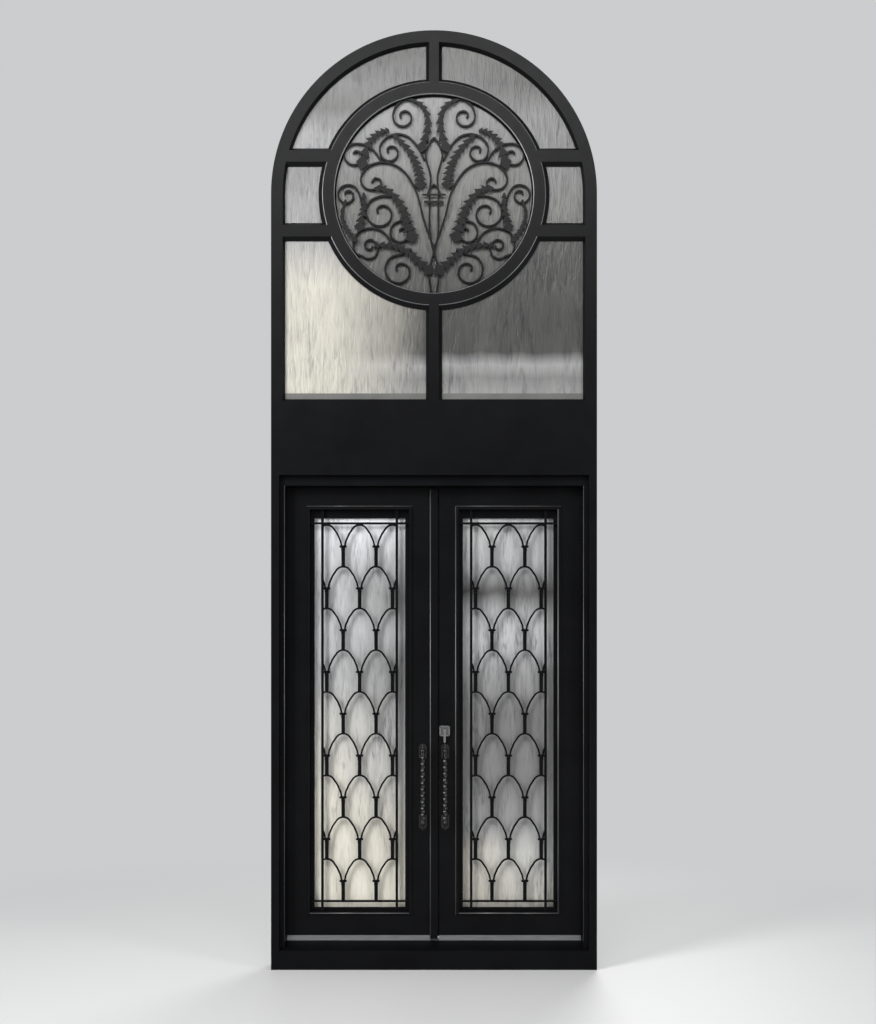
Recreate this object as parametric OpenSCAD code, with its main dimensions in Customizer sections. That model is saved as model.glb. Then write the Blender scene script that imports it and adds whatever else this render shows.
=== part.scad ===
// Wrought-iron french doors in their frame, with an arched transom window above.
// Millimetres. +X to the right and +Y inwards, seen from outside, +Z up.
// The origin is the middle of the threshold's underside, at mid depth of the frame.

/* [Overall] */
// Overall width of the frame
unit_w = 1630; // [1560:1:1760]
// Depth of the frame
frame_d = 150; // [140:1:180]
// Height of the door frame, from the floor to the top of its head
door_h = 2515; // [2480:1:2560]
// Height of the flat panel between the doors and the transom
panel_h = 332; // [240:1:440]
// Height of the straight transom sides, from the panel to the start of the arch
transom_side_h = 1037; // [960:1:1100]

/* [Door frame] */
// Width of a jamb's front face
jamb_face = 40; // [36:1:48]
// Width of the rebate stop on a jamb
stop_w = 25; // [20:1:30]
// Height of the head's front face
head_face = 40; // [36:1:60]
// Height of the rebate stop under the head
head_stop_h = 48; // [40:1:60]
// Setback of the stop from the frame's front
stop_setback = 30; // [20:1:40]
// Wall of the hollow steel sections
wall_t = 3; // [2:0.5:4]
// Height of the threshold's front edge
sill_front_h = 95; // [80:1:105]
// Height of the threshold under the leaves
sill_h = 130; // [120:1:140]
// Bevel along the threshold's front edge
sill_bevel = 4; // [2:0.5:8]

/* [Leaves] */
// Thickness of a leaf
leaf_t = 60; // [55:1:65]
// Gap between a leaf and the frame round it
leaf_gap = 6; // [5:0.5:8]
// Gap between a leaf and the threshold
leaf_lift = 7; // [5:0.5:10]
// Width of the astragal between the leaves
astragal_w = 38; // [30:1:46]
// How far the astragal stands in front of the leaves
astragal_proud = 10; // [6:1:14]
// Gap between the astragal and the active leaf
meeting_gap = 6; // [5.5:0.5:8]
// Distance from the middle of the doors to the glazed opening
opening_near = 118; // [112:1:126]
// Width of a hinge stile
hinge_stile_w = 131; // [120:1:150]
// Height of a bottom rail
bottom_rail_h = 131; // [118:1:150]
// Height of a top rail
top_rail_h = 144; // [130:1:165]
// Width of the moulding's face on the leaf
moulding_lap = 9; // [6:1:12]
// Width of the moulding's lip inside the opening
moulding_lip = 9; // [7:1:12]
// How far the moulding stands in front of the leaf
moulding_proud = 8; // [5:1:10]
// Height of the glass frame at the top of the opening
sash_top = 49; // [30:1:56]
// Height of the glass frame at the bottom of the opening
sash_foot = 26; // [18:1:36]
// Width of the glass frame at the sides of the opening
sash_side = 29; // [18:1:36]
// Thickness of the glass frame in front of the glass
sash_t = 12; // [8:1:16]
// Thickness of the door glass
door_glass_t = 10; // [8:1:14]
// Thickness of the glazing beads
bead_t = 12; // [8:1:12]
// Width of the glazing beads
bead_w = 14; // [10:1:18]
// Thickness of the pile seal on the astragal
pile_t = 2.3; // [1.5:0.1:2.4]
// Thickness of the rubber seals
seal_t = 5; // [3:0.5:6]
// Width of the rubber seals
seal_w = 10; // [8:1:12]
// Height of the door sweep
sweep_h = 26; // [20:1:30]
// Thickness of the door sweep
sweep_t = 3; // [2:0.5:4]

/* [Door grille] */
// Distance between neighbouring scales of a row
scale_pitch = 167; // [160:1:172]
// Number of rows of scales
scale_rows = 9; // [7:1:11]
// Distance of the upright bars from the sides of the glazed opening
grille_bar_inset = 71; // [64:1:78]
// Distance of the upper cross bar from the top of the glazed opening
cross_bar_top = 77; // [65:1:90]
// Distance of the lower cross bar from the bottom of the glazed opening
cross_bar_bottom = 60; // [50:1:75]
// Width of the upright bars
grille_bar_w = 13; // [11:1:15]
// Height of the cross bars
cross_bar_h = 10; // [8:1:12]
// Width of the bent scale bars
scale_bar_w = 9; // [7:0.5:10]
// Depth of the grille bars
grille_bar_d = 12; // [10:1:14]
// Setback of the grille behind the leaf's face
grille_setback = 6; // [4:1:8]
// Radius of a scale's round top, along the middle of its bar
scale_top_r = 42; // [36:1:46]
// Angle that the round top covers on each side
scale_top_angle = 50; // [44:1:56]
// Height of a scale from its collar to its top
scale_rise = 122; // [108:1:126]
// Width of a collar's crown
collar_w = 38; // [32:1:42]
// Height of a collar
collar_h = 28; // [24:1:32]
// Thickness of a collar
collar_t = 4; // [3:0.5:5]
// Radius of the curls at the ends of a collar's crown
collar_curl_r = 6; // [5:0.5:7]

/* [Pull handles] */
// Distance of a pull handle from the middle of the doors
pull_x = 57; // [55:1:62]
// Height of the middle of the pull handles
pull_z = 911; // [860:1:920]
// Length of a pull handle over its plates
pull_len = 433; // [380:1:436]
// Width of a pull handle's plates
pull_plate_w = 40; // [34:1:44]
// Height of a pull handle's plates
pull_plate_h = 72; // [60:1:84]
// Thickness of a pull handle's plates
pull_plate_t = 5; // [4:0.5:6]
// Distance of the grip's axis from the leaf
pull_reach = 52; // [48:1:56]
// Radius of a pull handle's posts
pull_post_r = 8; // [7:0.5:9]
// Radius of the balls at the ends of a grip
pull_ball_r = 15; // [13:0.5:16]
// Width of the twisted square bar of a grip
pull_bar_w = 17; // [15:0.5:19]
// Turns of the twisted bar
pull_turns = 2.5; // [1:0.5:4]

/* [Lock] */
// Distance of the lock spindle from the middle of the doors
lock_x = 54; // [53:0.5:58]
// Height of the lock spindle
lock_z = 1193; // [1192:1:1230]
// Width of a lock rosette
rosette_w = 53; // [48:1:56]
// Thickness of a lock rosette
rosette_t = 8; // [6:0.5:10]
// Corner radius of a lock rosette
rosette_r = 8; // [5:0.5:12]
// Radius of the lock spindle
spindle_r = 5; // [4:0.25:6]
// Radius of the hub of the lever and of the thumb turn
hub_r = 9; // [8:0.25:10]
// Length of the turn lever, from the spindle
lever_len = 60; // [50:1:62]
// Width of the turn lever
lever_w = 11; // [9:0.5:12]
// Thickness of the turn lever
lever_t = 6; // [5:0.5:8]
// Travel of the deadbolt over a quarter turn of the lever
bolt_travel = 25; // [20:0.5:26]
// Height of the deadbolt
bolt_h = 22; // [20:0.5:24]
// Thickness of the deadbolt
bolt_t = 14; // [12:0.5:16]

/* [Flush bolts] */
// Distance of the flush bolts from the middle of the doors
flush_x = 66; // [60:1:74]
// Radius of a flush bolt's rod
flush_r = 6; // [5:0.25:7]
// Length of a flush bolt's rod
flush_len = 260; // [200:1:320]
// Travel of a flush bolt
flush_travel = 22; // [16:0.5:24]

/* [Hinges] */
// Number of hinges on a leaf
hinge_count = 4; // [3:1:5]
// Distance from the leaf's ends to the middle of the end hinges
hinge_end = 210; // [160:1:300]
// Radius of a hinge barrel
hinge_r = 10; // [9:0.25:11]
// Radius of a hinge pin
hinge_pin_r = 6; // [5:0.25:6.5]
// Length of one half of a hinge barrel
hinge_half = 58; // [45:1:70]
// Width of a hinge plate
hinge_plate_w = 30; // [24:1:36]
// Thickness of a hinge plate
hinge_plate_t = 4; // [3:0.5:5]

/* [Transom] */
// Width of the transom frame's front face
transom_face = 58; // [52:1:64]
// Width of the bevelled lip inside the transom frame
transom_lip = 10; // [8:1:12]
// Gap between the ring and the transom frame
ring_gap = 178; // [160:1:195]
// Width of the ring, with its bevels
ring_w = 88; // [80:1:96]
// Width of the ring's outer bevel
ring_bevel_out = 23; // [18:1:28]
// Depth of the ring and of the transom bars
bar_d = 75; // [70:1:90]
// Width of the upright transom bars, with their bevels
upright_w = 80; // [74:1:90]
// Width of the level transom bars, with their bevels
level_w = 90; // [84:1:98]
// Width of the bevels on the transom bars
bar_bevel = 16; // [13:1:20]
// Distance of the level bars from the ring's centre
level_z = 187; // [170:1:210]
// Thickness of the transom glass
transom_glass_t = 10; // [8:1:14]
// Setback of the transom glass from the frame's front
transom_glass_setback = 23; // [21:1:26]

/* [Scrollwork] */
// Width of a scroll bar
scroll_w = 9; // [8:0.5:12]
// Depth of a scroll bar
scroll_d = 11; // [9:0.5:12]
// Width of the stem behind a forged leaf
stem_w = 8; // [6:0.5:10]
// Thickness of the forged leaves
foliage_t = 5; // [4:0.5:6]
// Greatest width of the forged leaves
foliage_w = 76; // [64:1:78]

/* [Anchors] */
// Radius of the anchor holes through the jambs
anchor_r = 5.5; // [4.5:0.25:6.5]
// Height of the lower anchor hole
anchor_z = 480; // [400:1:560]
// Distance between the anchor holes of a jamb
anchor_spacing = 1500; // [1300:1:1600]

/* [Hidden] */
$fn = 64;

// Colours of the finishes
iron = "#34363b";
foliage_iron = "#3a3b3e";
clear_glass = "#c9cdcb";
nickel = "#8d8f8c";
black_rubber = "#1b1c1e";
bright_alloy = "#b4b6b6";

// Play at a seat that touches in the real doors, of a fixed pin and of a running pin
seat_gap = 0.3;
pressed_play = 0.02;
running_play = 0.05;
// Room past a face that a cut has to pass
past = 1;

// Planes of the frame and the leaves
y_front = -frame_d / 2;
y_back = frame_d / 2;
half_w = unit_w / 2;
jamb_x = half_w - jamb_face;
stop_x = jamb_x - stop_w;
leaf_front = y_back - leaf_t;
stop_y0 = y_front + stop_setback;
stop_y1 = leaf_front - seal_t - seat_gap;
head_z = door_h - head_face;
head_stop_z = head_z - head_stop_h;
panel_top = door_h + panel_h;
spring_z = panel_top + transom_side_h;
leaf_z0 = sill_h + leaf_lift;
leaf_z1 = head_z - leaf_gap;
leaf_x1 = jamb_x - leaf_gap;
left_edge = astragal_w / 2;
right_edge = left_edge + meeting_gap;
opening_far = leaf_x1 - hinge_stile_w;
opening_w = opening_far - opening_near;
opening_z0 = leaf_z0 + bottom_rail_h;
opening_z1 = leaf_z1 - top_rail_h;
leaf_mid_y = (leaf_front + y_back) / 2;

// Door glazing
door_bead_y = y_back - bead_t;
door_glass_y = door_bead_y - door_glass_t;
glass_edge_gap = 2;
moulding_step = moulding_proud / 2;

// Door grille
grille_x = (opening_near + opening_far) / 2;
grille_y0 = leaf_front + grille_setback;
grille_y1 = grille_y0 + grille_bar_d;
cross_z1 = opening_z1 - cross_bar_top;
cross_z0 = opening_z0 + cross_bar_bottom;
scale_z1 = cross_z1 - cross_bar_h / 2;
scale_z0 = cross_z0 + cross_bar_h / 2;
row_pitch = (scale_z1 - scale_z0) / scale_rows;
grille_bar_x = opening_w / 2 - grille_bar_inset;
scale_clip = grille_bar_x - grille_bar_w / 2;
scale_leg_x = (scale_pitch - scale_bar_w) / 2;
scale_weld = 2;
collar_wrap = 2;
top_steps = 3;
leg_steps = 3;

// Transom glazing and bars
lip_edge = 5;
glass_y0 = y_front + transom_glass_setback;
glass_y1 = glass_y0 + transom_glass_t;
pane_lap = transom_lip - glass_edge_gap;
transom_x = half_w - transom_face;
lip_x = transom_x - transom_lip;
ring_r = transom_x - ring_gap;
ring_in = ring_r - ring_w;
bar_y1 = y_front + bar_d;
bevel_d = transom_glass_setback - lip_edge;

// Scrollwork, drawn for a ring of the design radius and fitted to the real one
scroll_design_r = 491;
scroll_k = ring_in / scroll_design_r;
scroll_stand = 4;
scroll_y1 = glass_y0 - scroll_stand;
scroll_y0 = scroll_y1 - scroll_d;
foliage_y0 = scroll_y0 - foliage_t;
spline_steps = 3;
eye_step = 40;
eye_fall = 0.7;
leaf_sweep = 1.1;
leaf_start = 0.5;
leaf_steps = 2;
// Height, width and depth of each band of the collar on the lance
collar_bands = [[-5, 118, 9], [-42, 98, 13]];

// Hinges
hinge_x = (jamb_x + leaf_x1) / 2;
hinge_y = y_back + hinge_r + past;
hinge_span = leaf_z1 - leaf_z0 - 2 * hinge_end;
hinge_heights = [for (i = [0:hinge_count - 1]) leaf_z0 + hinge_end + i * hinge_span / (hinge_count - 1)];

// Flush bolts
flush_y = leaf_mid_y;
flush_end = 2;
flush_knob_r = 9;
flush_knob_l = 13;
flush_shank_r = 4;
flush_shank_end = 20;
slot_play = 0.5;
flush_plate_w = 28;
flush_plate_t = 3;
flush_plate_margin = 22;
keeper_r = 10;
keeper_play = 0.6;
keeper_bore_r = flush_r + keeper_play;
keeper_l = 24;
top_shank_z = leaf_z1 - flush_end - flush_len + flush_shank_end;
bottom_shank_z = leaf_z0 + flush_end + flush_len - flush_shank_end;

// Lock
cam_r = bolt_travel / sqrt(2);
cam_pin_r = 3;
cam_slot_play = 0.9;
cam_hub_r = spindle_r + 4;
cam_t = 4;
cam_gap = 1;
spindle_room = 3;
bolt_inset = 0.5;
case_drop = 28;
bolt_y0 = leaf_mid_y - bolt_t / 2;
bolt_y1 = leaf_mid_y + bolt_t / 2;
bolt_z0 = lock_z + spindle_r + spindle_room;
bolt_z1 = bolt_z0 + bolt_h;
bolt_tip_x = right_edge + bolt_inset;
cam_pin_x = lock_x + cam_r * cos(45);
bolt_tail = 8;
bolt_end_x = cam_pin_x + cam_pin_r + cam_slot_play + bolt_tail;
cam_y0 = bolt_y1 + cam_gap;
cam_y1 = cam_y0 + cam_t;
case_t = 2;
case_room = 3;
case_x1 = bolt_end_x + case_room + case_t;
case_y0 = bolt_y0 - case_room - case_t;
case_y1 = cam_y1 + case_room + case_t;
case_z0 = lock_z - case_drop;
case_z1 = bolt_z1 + case_room + case_t;
faceplate_end = 16;
faceplate_side = 3;
bolt_play = 0.2;
rosette_dish = 2;
rosette_rim = 9;
lever_stand = 10;
thumb_l = 34;
thumb_w = 9;
thumb_proud = 16;
spindle_seat = 4;
spindle_hole_r = 13;

// Pull handles
pull_half = pull_len / 2;
pull_post_z = pull_half - pull_plate_h / 2;
pull_y = leaf_front - pull_reach;
pull_collar_r = 12;
pull_collar_t = 6;
pull_finial_r = 10;
pull_tip_r = 3;
twist_slices = 40;

// Extrudes a shape drawn in the X-Z plane from y0 to y1
module slab(y0, y1) {
    translate([0, y1, 0]) rotate([90, 0, 0]) linear_extrude(height = y1 - y0) children();
}

// Extrudes a shape drawn in the Y-Z plane from x0 to x1
module along_x(x0, x1) {
    translate([x0, 0, 0]) rotate([90, 0, 90]) linear_extrude(height = x1 - x0) children();
}

// Turns a radius and depth profile about the transom's centre
module turned(profile, angle) {
    translate([0, 0, spring_z]) rotate([90, 0, 0])
        rotate_extrude(angle = angle, $fn = 128) polygon([for (p = profile) [p[0], -p[1]]]);
}

// A cylinder along Y
module rod_y(x, z, y0, y1, r) {
    translate([x, y1, z]) rotate([90, 0, 0]) cylinder(r = r, h = y1 - y0);
}

// A box between two corners
module box(low, high) {
    translate(low) cube(high - low);
}

// A rectangle between two corners
module rect(low, high) {
    translate(low) square(high - low);
}

// A rectangle with round corners, about its centre
module round_rect(w, h, r) {
    square([w - 2 * r, h], center = true);
    square([w, h - 2 * r], center = true);
    for (x = [-1, 1], z = [-1, 1])
        translate([x * (w / 2 - r), z * (h / 2 - r)]) circle(r = r);
}

// Puts a right-hand piece on the left leaf
module on_left() {
    mirror([1, 0, 0]) children();
}

// Puts an outside fitting on the inside face of a leaf
module on_inside() {
    translate([0, leaf_front + y_back, 0]) mirror([0, 1, 0]) children();
}

// A point on the smooth curve through a list of points
function spline_point(p, i, t) =
    let (n = len(p) - 1, a = p[max(i - 1, 0)], b = p[i], c = p[i + 1], d = p[min(i + 2, n)])
    (2 * b + (c - a) * t + (2 * a - 5 * b + 4 * c - d) * t * t + (3 * b - a - 3 * c + d) * t * t * t) / 2;

// The smooth curve through a list of points
function spline(p, steps = spline_steps) =
    concat([for (i = [0:len(p) - 2], s = [0:steps - 1]) spline_point(p, i, s / steps)], [p[len(p) - 1]]);

// The direction across a path at one of its points
function across(q, i) =
    let (d = q[min(i + 1, len(q) - 1)] - q[max(i - 1, 0)])
    [-d[1], d[0]] / norm(d);

// The outline of a bar of width w along a path
function band(q, w) = concat(
    [for (i = [0:len(q) - 1]) q[i] + across(q, i) * w / 2],
    [for (i = [len(q) - 1:-1:0]) q[i] - across(q, i) * w / 2]);

// Door frame

// Section of the right jamb, inset by the given wall
function jamb_outline(i) = [
    [half_w - i, y_front + i], [half_w - i, y_back - i], [jamb_x + i, y_back - i],
    [jamb_x + i, stop_y1 - i], [stop_x + i, stop_y1 - i], [stop_x + i, stop_y0 + i],
    [jamb_x + i, stop_y0 + i], [jamb_x + i, y_front + i]];

// Section of the threshold in depth and height, inset by the given wall
function sill_outline(i) = [
    [y_front + i, i], [y_front + i, sill_front_h - sill_bevel - i],
    [y_front + sill_bevel + i, sill_front_h - i], [stop_y1, sill_h - i],
    [y_back - i, sill_h - i], [y_back - i, i]];

module right_jamb() {
    color(iron) difference() {
        linear_extrude(height = door_h) difference() {
            polygon(jamb_outline(0));
            polygon(jamb_outline(wall_t));
        }
        along_x(-jamb_x, jamb_x) polygon(sill_outline(0));
        box([-jamb_x, y_front, head_z], [jamb_x, y_back, door_h + past]);
        for (i = [0, 1])
            translate([jamb_x - past, leaf_mid_y, anchor_z + i * anchor_spacing])
                rotate([0, 90, 0]) cylinder(r = anchor_r, h = jamb_face + 2 * past);
    }
}

module left_jamb() {
    on_left() right_jamb();
}

module door_head() {
    t = [wall_t, wall_t];
    color(iron) difference() {
        union() {
            along_x(-jamb_x, jamb_x) difference() {
                rect([y_front, head_z], [y_back, door_h]);
                rect([y_front, head_z] + t, [y_back, door_h] - t);
            }
            along_x(-stop_x, stop_x) difference() {
                rect([stop_y0, head_stop_z], [stop_y1, head_z]);
                rect([stop_y0, head_stop_z] + t, [stop_y1, head_z] - t);
            }
        }
        translate([-flush_x, flush_y, head_z - past])
            cylinder(r = keeper_r + pressed_play, h = wall_t + 2 * past);
    }
}

module threshold() {
    color(iron) difference() {
        along_x(-jamb_x, jamb_x) difference() {
            polygon(sill_outline(0));
            polygon(sill_outline(wall_t));
        }
        translate([-flush_x, flush_y, sill_h - wall_t - past])
            cylinder(r = keeper_r + pressed_play, h = wall_t + 2 * past);
    }
}

module mull_box() {
    color(iron) {
        difference() {
            box([-half_w, y_front, door_h], [half_w, y_back, panel_top]);
            box([wall_t - half_w, y_front + wall_t, door_h - past],
                [half_w - wall_t, y_back - wall_t, panel_top - wall_t]);
        }
        box([-lip_x, glass_y0 - transom_lip, panel_top], [lip_x, glass_y0, panel_top + transom_lip]);
    }
}

module frame_seals() {
    side = (stop_w - seal_w) / 2;
    color(black_rubber) {
        for (s = [-1, 1])
            translate([s * (stop_x + side + seal_w / 2), stop_y1 + seal_t / 2, (leaf_z0 + leaf_z1) / 2])
                cube([seal_w, seal_t, leaf_z1 - leaf_z0], center = true);
        box([-stop_x, stop_y1, head_stop_z + side], [stop_x, stop_y1 + seal_t, head_stop_z + side + seal_w]);
    }
}

module bolt_keepers() {
    color(nickel) for (z = [sill_h - keeper_l, head_z])
        translate([-flush_x, flush_y, z]) difference() {
            cylinder(r = keeper_r, h = keeper_l);
            translate([0, 0, -past]) cylinder(r = keeper_bore_r, h = keeper_l + 2 * past);
        }
}

// Transom

// Section of the transom frame, in distance from the middle and depth
transom_outline = [
    [half_w, y_front], [half_w, y_back], [transom_x, y_back], [transom_x, glass_y0],
    [lip_x, glass_y0], [lip_x, glass_y0 - lip_edge], [transom_x, y_front]];
transom_hollow = [
    [half_w - wall_t, y_front + wall_t], [half_w - wall_t, y_back - wall_t],
    [transom_x + wall_t, y_back - wall_t], [transom_x + wall_t, y_front + wall_t]];

// Section of the ring, in radius and depth
ring_outline = [
    [ring_in + transom_lip, y_front], [ring_r - ring_bevel_out, y_front],
    [ring_r, glass_y0 - lip_edge], [ring_r, glass_y0],
    [ring_r - transom_lip, glass_y0], [ring_r - transom_lip, bar_y1],
    [ring_in + transom_lip, bar_y1], [ring_in + transom_lip, glass_y0],
    [ring_in, glass_y0], [ring_in, glass_y0 - lip_edge]];
ring_hollow = [
    [ring_in + transom_lip + wall_t, y_front + wall_t],
    [ring_r - ring_bevel_out - wall_t, y_front + wall_t],
    [ring_r - transom_lip - wall_t, y_front + wall_t + bevel_d],
    [ring_r - transom_lip - wall_t, bar_y1 - wall_t],
    [ring_in + transom_lip + wall_t, bar_y1 - wall_t]];

// Section of a transom bar of half width h, and its hollow
function bar_outline(h) = [
    [bar_bevel - h, y_front], [h - bar_bevel, y_front], [h, glass_y0 - lip_edge], [h, glass_y0],
    [h - transom_lip, glass_y0], [h - transom_lip, bar_y1], [transom_lip - h, bar_y1],
    [transom_lip - h, glass_y0], [-h, glass_y0], [-h, glass_y0 - lip_edge]];
function bar_hollow(h) =
    let (c = h - bar_bevel - wall_t)
    [[-c, y_front + wall_t], [c, y_front + wall_t], [c, bar_y1 - wall_t], [-c, bar_y1 - wall_t]];

module transom_right_stile() {
    color(iron) translate([0, 0, panel_top]) linear_extrude(height = transom_side_h) difference() {
        polygon(transom_outline);
        polygon(transom_hollow);
    }
}

module transom_left_stile() {
    on_left() transom_right_stile();
}

module transom_arch() {
    color(iron) difference() {
        turned(transom_outline, 180);
        turned(transom_hollow, 180);
    }
}

module transom_ring() {
    color(iron) difference() {
        turned(ring_outline, 360);
        turned(ring_hollow, 360);
    }
}

module upright_bar(z0, z1) {
    color(iron) difference() {
        translate([0, 0, z0]) linear_extrude(height = z1 - z0) difference() {
            polygon(bar_outline(upright_w / 2));
            polygon(bar_hollow(upright_w / 2));
        }
        children();
    }
}

module top_bar() {
    upright_bar(spring_z + ring_r - ring_w / 2, spring_z + transom_x + transom_face / 2) {
        turned(ring_outline, 360);
        turned(transom_outline, 180);
    }
}

module bottom_bar() {
    upright_bar(panel_top, spring_z - ring_r + ring_w / 2) {
        turned(ring_outline, 360);
        box([-lip_x, glass_y0 - transom_lip, panel_top - past], [lip_x, glass_y0, panel_top + transom_lip]);
    }
}

module side_bars() {
    color(iron) for (s = [0, 1], level = [-level_z, level_z])
        mirror([s, 0, 0]) difference() {
            along_x(ring_in, transom_x + lip_edge) translate([0, spring_z + level]) difference() {
                polygon([for (p = bar_outline(level_w / 2)) [p[1], p[0]]]);
                polygon([for (p = bar_hollow(level_w / 2)) [p[1], p[0]]]);
            }
            turned(ring_outline, 360);
            if (level > 0)
                turned(transom_outline, 180);
            else
                translate([0, 0, panel_top]) linear_extrude(height = transom_side_h) polygon(transom_outline);
        }
}

// The six panes round the ring, grown by g past the edges of the lips
module outer_panes(g) {
    sill = panel_top + transom_lip - g;
    difference() {
        union() {
            translate([0, spring_z]) circle(r = lip_x + g, $fn = 128);
            rect([-lip_x - g, sill], [lip_x + g, spring_z]);
        }
        translate([0, spring_z]) circle(r = ring_r - g, $fn = 128);
        rect([g - upright_w / 2, sill - past], [upright_w / 2 - g, spring_z + half_w]);
        for (level = [-level_z, level_z])
            translate([0, spring_z + level]) square([2 * half_w, level_w - 2 * g], center = true);
    }
}

// The part of the transom between two heights from the ring's centre
module transom_zone(z0, z1) {
    rect([-half_w, spring_z + z0], [half_w, spring_z + z1]);
}

module transom_panes(z0, z1) {
    color(clear_glass, 0.4) slab(glass_y0, glass_y1) intersection() {
        outer_panes(pane_lap);
        transom_zone(z0, z1);
    }
}

module top_panes() {
    transom_panes(level_z, half_w);
}

module side_panes() {
    transom_panes(-level_z, level_z);
}

module low_panes() {
    transom_panes(panel_top - spring_z, -level_z);
}

module round_pane() {
    color(clear_glass, 0.4) slab(glass_y0, glass_y1)
        translate([0, spring_z]) circle(r = ring_in + pane_lap, $fn = 128);
}

module transom_beads() {
    color(iron) slab(glass_y1, glass_y1 + bead_t) {
        difference() {
            outer_panes(pane_lap);
            outer_panes(pane_lap - bead_w);
        }
        translate([0, spring_z]) difference() {
            circle(r = ring_in + pane_lap, $fn = 128);
            circle(r = ring_in + pane_lap - bead_w, $fn = 128);
        }
    }
}

// Scrollwork, drawn about the ring's centre for the right half

// The path of a scroll: its tail, then an eye that winds from radius r0 to r1 about c
function scroll_path(tail, c, r0, r1, start, turn) =
    let (n = ceil(abs(turn) / eye_step))
    spline(concat(tail, [for (i = [0:n])
        let (t = i / n, a = start + turn * t, r = r1 + (r0 - r1) * pow(1 - t, eye_fall))
        c + r * [cos(a), sin(a)]])) * scroll_k;

scroll_paths = [
    scroll_path([[65, 236], [45, 281], [33, 340], [35, 395], [85, 461], [140, 474], [186, 446]],
        [152, 386], 55, 12, 15, -390),
    scroll_path([[48, 171], [78, 231], [128, 286], [188, 301], [240, 281], [268, 246]],
        [218, 211], 54, 10, 10, -380),
    scroll_path([[262, 160], [298, 214], [335, 243]], [396, 191], 62, 14, 95, -400),
    scroll_path([[350, -110], [362, -50], [374, 0], [398, 36]], [435, -6], 52, 11, 95, -430),
    scroll_path([[215, -10], [240, -10]], [265, -96], 86, 15, 92, -450),
    scroll_path([[120, -150]], [165, -196], 62, 14, 95, -400),
    scroll_path([[110, -282], [150, -292]], [172, -384], 84, 12, 100, -460)
];

// The lance in the middle, the S-shaped bars beside it and its small inner arch
centre_paths = [
    spline([[13, -491], [24, -410], [14, -340], [0, -292]]) * scroll_k,
    spline([[0, -292], [14, -235], [22, -170], [22, -60], [22, 16], [17, 91], [42, 191], [26, 246], [0, 284]])
        * scroll_k,
    spline([[0, -270], [32, -186], [59, -99], [80, -11], [103, 44], [147, 110], [202, 148], [262, 159],
        [322, 143], [361, 99], [364, 55], [339, 27], [301, 22], [268, 38], [268, 68], [295, 80], [311, 58]])
        * scroll_k,
    spline([[32, -5], [22, 25], [0, 48]]) * scroll_k
];

// The arches beside the lowest leaves and the curls below them
curl_paths = [
    spline([[392, -312], [404, -244], [383, -197], [344, -175], [301, -172], [257, -189], [224, -225], [204, -266]])
        * scroll_k,
    spline([[404, -298], [366, -308], [333, -324], [295, -313], [279, -272]]) * scroll_k,
    scroll_path([[275, -262]], [322, -258], 30, 12, 120, -300)
];

// Each leaf's path and its width as a share of the greatest
foliage = [
    [[[120, 470], [62, 444], [34, 390], [34, 310], [58, 236]], 0.72],
    [[[206, 296], [158, 252], [114, 197], [87, 143], [74, 95], [68, 46]], 0.9],
    [[[225, 318], [264, 310], [306, 280], [335, 235], [358, 156]], 0.85],
    [[[301, 24], [240, 22], [190, -25], [155, -85], [134, -148], [112, -215]], 1],
    [[[352, 5], [350, -54], [360, -110], [372, -166]], 0.75],
    [[[441, -30], [460, -90], [452, -145], [428, -192], [399, -228]], 0.5],
    [[[300, -262], [246, -256], [180, -268], [125, -296], [81, -340], [30, -382]], 0.9]
];
foliage_paths = [for (f = foliage) spline(f[0] * scroll_k, leaf_steps)];

module scroll_bars() {
    color(iron) slab(scroll_y0, scroll_y1) translate([0, spring_z]) intersection() {
        circle(r = ring_in, $fn = 128);
        union() for (s = [0, 1])
            mirror([s, 0]) {
                for (q = concat(scroll_paths, centre_paths, curl_paths))
                    polygon(band(q, scroll_w));
                for (q = foliage_paths)
                    polygon(band(q, stem_w));
            }
    }
}

// One edge of a leaf along a path, with leaflets that sweep forward and widen towards its end
function leaf_edge(q, w, side) = [for (i = [0:len(q) - 2]) each [
    q[i] + side * across(q, i) * stem_w / 2,
    q[i] + (q[i + 1] - q[i]) * leaf_sweep
        + side * across(q, i) * w / 2 * (leaf_start + (1 - leaf_start) * i / (len(q) - 2))]];
function leaf_tip(q) = let (n = len(q) - 1) q[n] + (q[n] - q[n - 1]) * leaf_sweep;
function leaf_outline(q, w) =
    let (back = leaf_edge(q, w, -1))
    concat(leaf_edge(q, w, 1), [leaf_tip(q)], [for (i = [len(back) - 1:-1:0]) back[i]]);

module scroll_leaves() {
    color(foliage_iron) slab(foliage_y0, scroll_y0) translate([0, spring_z])
        for (s = [0, 1])
            mirror([s, 0]) for (i = [0:len(foliage) - 1])
                polygon(leaf_outline(foliage_paths[i], foliage_w * foliage[i][1]));
}

module scroll_collar() {
    color(iron) slab(foliage_y0, scroll_y0) translate([0, spring_z])
        for (b = collar_bands)
            translate([0, b[0] * scroll_k]) square([b[1], b[2]], center = true);
}

// Hinges

// One half of each hinge: a barrel with its plate, on the frame or on the leaf
module hinge_halves(z_shift, plate_x0, plate_x1, bore_r) {
    color(iron) for (z = hinge_heights)
        translate([0, 0, z + z_shift]) difference() {
            union() {
                translate([hinge_x, hinge_y, 0]) cylinder(r = hinge_r, h = hinge_half);
                box([plate_x0, y_back, 0], [plate_x1, y_back + hinge_plate_t, hinge_half]);
            }
            translate([hinge_x, hinge_y, -past]) cylinder(r = bore_r, h = hinge_half + 2 * past);
        }
}

module hinge_frame_halves() {
    for (s = [0, 1])
        mirror([s, 0, 0]) hinge_halves(-hinge_half - seat_gap, hinge_x + hinge_r / 2,
            hinge_x + hinge_r / 2 + hinge_plate_w, hinge_pin_r + pressed_play);
}

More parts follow.
